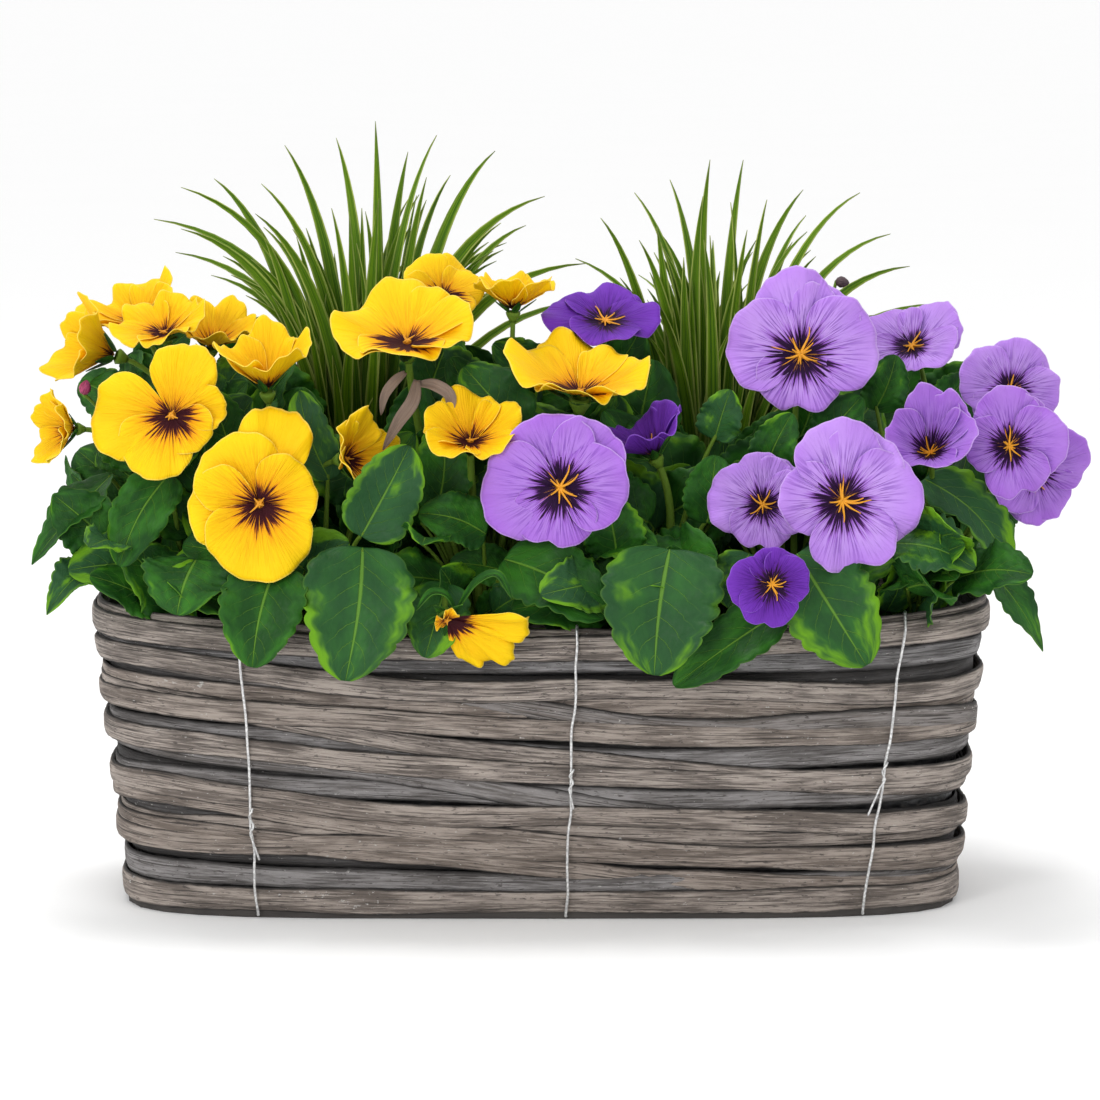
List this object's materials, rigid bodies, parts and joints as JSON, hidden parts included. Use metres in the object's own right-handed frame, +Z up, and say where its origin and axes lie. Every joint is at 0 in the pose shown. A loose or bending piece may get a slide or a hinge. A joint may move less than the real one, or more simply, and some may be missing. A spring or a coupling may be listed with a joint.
{
  "type": "potted pansy planter",
  "caption": "Long trough of stacked willow strips tied with wire, lined and filled with soil, planted with pansies in bloom and tufts of arching grass.",
  "frame": {"origin": "middle of the underside of the base panel, on the surface that the trough stands on", "axes": "+X along the trough to its right end as seen from the front, -Y out of the front, +Z up"},
  "size_m": [0.5367, 0.2626, 0.396],
  "materials": {
    "willow_front": "weathered grey-brown willow, rough, lengthwise grain",
    "willow_back": "weathered blue-grey willow, rough, lengthwise grain",
    "base_board": "dark stained board, matt",
    "liner_film": "black film, low gloss",
    "soil": "dark moist potting soil, crumbly and matt",
    "wire": "galvanised wire, dull metallic",
    "grass": "living grass blade, green with paler edges, slight gloss",
    "foliage": "living pansy leaf, dark green with yellow-green edges and veins, slight gloss",
    "petal_yellow": "living petal, bright yellow with a dark feathered blotch, velvety",
    "petal_violet": "living petal, violet with a dark feathered blotch and orange rays, velvety"
  },
  "bodies": {
    "root": {"willow_strip_01": "willow_front", "willow_strip_02": "willow_back", "willow_strip_03": "willow_front", "willow_strip_04": "willow_back", "willow_strip_05": "willow_front", "willow_strip_06": "willow_back", "willow_strip_07": "willow_front", "willow_strip_08": "willow_back", "willow_strip_09": "willow_front", "willow_strip_10": "willow_back", "willow_strip_11": "willow_front", "willow_strip_12": "willow_back", "willow_strip_13": "willow_front", "rim_hoop": "willow_front", "base_panel": "base_board", "liner_film": "liner_film", "soil": "soil", "wire_tie_front_left": "wire", "wire_tie_front_centre": "wire", "wire_tie_front_right": "wire", "wire_tie_back_left": "wire", "wire_tie_back_centre": "wire", "wire_tie_back_right": "wire", "pansy_plant_yellow_left": "foliage", "pansy_plant_yellow_middle": "foliage", "pansy_plant_yellow_right": "foliage", "pansy_plant_violet_left": "foliage", "pansy_plant_violet_middle": "foliage", "pansy_plant_violet_right": "foliage", "pansy_plant_back_left": "foliage", "pansy_plant_back_right": "foliage", "bloom_yellow_01": "petal_yellow", "bloom_yellow_02": "petal_yellow", "bloom_yellow_03": "petal_yellow", "bloom_yellow_04": "petal_yellow", "bloom_yellow_05": "petal_yellow", "bloom_yellow_06": "petal_yellow", "bloom_yellow_07": "petal_yellow", "bloom_yellow_08": "petal_yellow", "bloom_yellow_09": "petal_yellow", "bloom_yellow_10": "petal_yellow", "bloom_yellow_11": "petal_yellow", "bloom_yellow_12": "petal_yellow", "bloom_yellow_13": "petal_yellow", "bloom_yellow_14": "petal_yellow", "bloom_yellow_15": "petal_yellow", "bloom_violet_01": "petal_violet", "bloom_violet_02": "petal_violet", "bloom_violet_03": "petal_violet", "bloom_violet_04": "petal_violet", "bloom_violet_05": "petal_violet", "bloom_violet_06": "petal_violet", "bloom_violet_07": "petal_violet", "bloom_violet_08": "petal_violet", "bloom_violet_09": "petal_violet", "bloom_violet_10": "petal_violet", "bloom_violet_11": "petal_violet", "bloom_violet_12": "petal_violet", "grass_tuft_left": "grass", "grass_tuft_right": "grass"}
  },
  "joints": []
}
